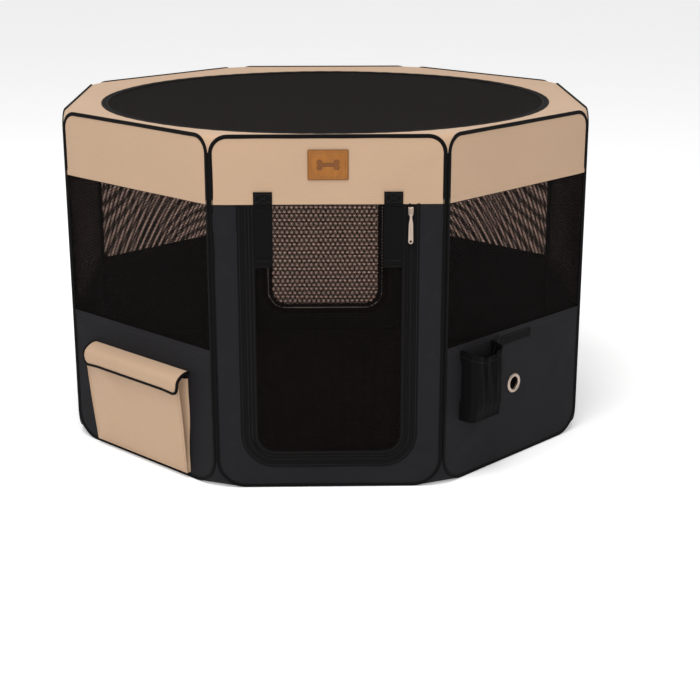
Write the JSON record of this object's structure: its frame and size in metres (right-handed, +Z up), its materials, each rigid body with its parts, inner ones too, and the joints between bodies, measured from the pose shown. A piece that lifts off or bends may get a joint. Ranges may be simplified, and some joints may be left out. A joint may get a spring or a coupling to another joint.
{
  "type": "folding pet playpen",
  "caption": "Folding eight-sided fabric pet playpen on wire hoops, with zipped mesh doors front and back, mesh windows, a mesh top, a sewn floor and outside pockets.",
  "frame": {"origin": "middle of the sewn floor's underside, on the ground", "axes": "+Z up, -Y out through the front door, +X to the right seen from the front; the eight panels face -Y and then every 45 degrees"},
  "size_m": [0.914, 0.925, 0.592],
  "materials": {
    "steel_wire": "plain drawn wire",
    "black_binding": "woven polyester binding",
    "cream_fabric": "oxford weave polyester",
    "navy_fabric": "oxford weave polyester",
    "black_fabric": "oxford weave polyester",
    "black_mesh": "open knitted mesh",
    "black_webbing": "ribbed webbing",
    "nickel": "warm satin nickel",
    "leather": "smooth tan leather"
  },
  "bodies": {
    "front_panel": {"front_wire_hoop": "steel_wire", "front_edge_binding": "black_binding", "front_band": "cream_fabric", "front_skirt": "navy_fabric", "front_zip_track": "black_binding", "strap_tabs": "black_webbing", "leather_patch": "leather", "top_ring": "cream_fabric", "top_mesh": "black_mesh", "top_tape": "black_binding", "floor": "navy_fabric"},
    "right_front_panel": {"right_front_wire_hoop": "steel_wire", "right_front_edge_binding": "black_binding", "right_front_band": "cream_fabric", "right_front_skirt": "navy_fabric", "right_front_mesh": "black_mesh", "bottle_pocket": "black_fabric", "hook_strip": "black_webbing", "grommet": "nickel"},
    "right_panel": {"right_wire_hoop": "steel_wire", "right_edge_binding": "black_binding", "right_band": "cream_fabric", "right_skirt": "navy_fabric", "right_mesh": "black_mesh"},
    "right_back_panel": {"right_back_wire_hoop": "steel_wire", "right_back_edge_binding": "black_binding", "right_back_band": "cream_fabric", "right_back_skirt": "navy_fabric", "right_back_mesh": "black_mesh"},
    "back_panel": {"back_wire_hoop": "steel_wire", "back_edge_binding": "black_binding", "back_band": "cream_fabric", "back_skirt": "navy_fabric", "back_zip_track": "black_binding"},
    "left_back_panel": {"left_back_wire_hoop": "steel_wire", "left_back_edge_binding": "black_binding", "left_back_band": "cream_fabric", "left_back_skirt": "navy_fabric", "left_back_mesh": "black_mesh"},
    "left_panel": {"left_wire_hoop": "steel_wire", "left_edge_binding": "black_binding", "left_band": "cream_fabric", "left_skirt": "navy_fabric", "left_mesh": "black_mesh"},
    "left_front_panel": {"left_front_wire_hoop": "steel_wire", "left_front_edge_binding": "black_binding", "left_front_band": "cream_fabric", "left_front_skirt": "navy_fabric", "left_front_mesh": "black_mesh", "pocket_body": "cream_fabric"},
    "pocket_flap": {"pocket_flap": "cream_fabric"},
    "front_door": {"front_door_mesh": "black_mesh", "front_door_tape": "black_binding", "tie_straps": "black_webbing"},
    "front_zip_slider": {"front_zip_slider": "nickel"},
    "front_zip_pull": {"front_zip_pull": "nickel"},
    "back_door": {"back_door_mesh": "black_mesh", "back_door_tape": "black_binding"},
    "back_zip_slider": {"back_zip_slider": "nickel"},
    "back_zip_pull": {"back_zip_pull": "nickel"}
  },
  "joints": [
    {"name": "pen_fold", "type": "hinge", "parent": "front_panel", "child": "right_front_panel", "pos_m": [0.18495, -0.4465, 0.295], "axis": [0, 0, 1], "range_deg": [0, 135], "deforming": ["floor", "top_ring", "top_mesh", "top_tape"]},
    {"name": "fold_right", "type": "hinge", "parent": "right_front_panel", "child": "right_panel", "pos_m": [0.4605, -0.19074, 0.295], "axis": [0, 0, 1], "range_deg": [-135, 0]},
    {"name": "fold_right_back", "type": "hinge", "parent": "right_panel", "child": "right_back_panel", "pos_m": [0.4465, 0.18495, 0.295], "axis": [0, 0, 1], "range_deg": [0, 135]},
    {"name": "fold_back", "type": "hinge", "parent": "right_back_panel", "child": "back_panel", "pos_m": [0.19074, 0.4605, 0.295], "axis": [0, 0, 1], "range_deg": [-135, 0]},
    {"name": "fold_left_front", "type": "hinge", "parent": "front_panel", "child": "left_front_panel", "pos_m": [-0.19074, -0.4605, 0.295], "axis": [0, 0, 1], "range_deg": [0, 135]},
    {"name": "fold_left", "type": "hinge", "parent": "left_front_panel", "child": "left_panel", "pos_m": [-0.4465, -0.18495, 0.295], "axis": [0, 0, 1], "range_deg": [-135, 0]},
    {"name": "fold_left_back", "type": "hinge", "parent": "left_panel", "child": "left_back_panel", "pos_m": [-0.4605, 0.19074, 0.295], "axis": [0, 0, 1], "range_deg": [0, 135]},
    {"name": "front_door_swing", "type": "hinge", "parent": "front_panel", "child": "front_door", "pos_m": [0, -0.4557, 0.481], "axis": [-1, 0, 0], "range_deg": [0, 110]},
    {"name": "front_zip_travel", "type": "slide", "parent": "front_panel", "child": "front_zip_slider", "axis": [0, 0, -1], "range_m": [0, 0.33]},
    {"name": "front_pull_swing", "type": "hinge", "parent": "front_zip_slider", "child": "front_zip_pull", "pos_m": [0.131, -0.4603, 0.469], "axis": [-1, 0, 0], "range_deg": [0, 150]},
    {"name": "back_door_swing", "type": "hinge", "parent": "back_panel", "child": "back_door", "pos_m": [0, 0.4557, 0.481], "axis": [1, 0, 0], "range_deg": [0, 110]},
    {"name": "back_zip_travel", "type": "slide", "parent": "back_panel", "child": "back_zip_slider", "axis": [0, 0, -1], "range_m": [0, 0.33]},
    {"name": "back_pull_swing", "type": "hinge", "parent": "back_zip_slider", "child": "back_zip_pull", "pos_m": [-0.131, 0.4603, 0.469], "axis": [1, 0, 0], "range_deg": [0, 150]},
    {"name": "pocket_flap_lift", "type": "hinge", "parent": "left_front_panel", "child": "pocket_flap", "pos_m": [-0.32244, -0.32244, 0.19], "axis": [-0.7071, 0.7071, 0], "range_deg": [0, 85]}
  ],
  "couplings": [
    {"joint": "fold_right", "follows": "pen_fold", "ratio": -1},
    {"joint": "fold_right_back", "follows": "pen_fold", "ratio": 1},
    {"joint": "fold_back", "follows": "pen_fold", "ratio": -1},
    {"joint": "fold_left_front", "follows": "pen_fold", "ratio": 1},
    {"joint": "fold_left", "follows": "pen_fold", "ratio": -1},
    {"joint": "fold_left_back", "follows": "pen_fold", "ratio": 1}
  ]
}
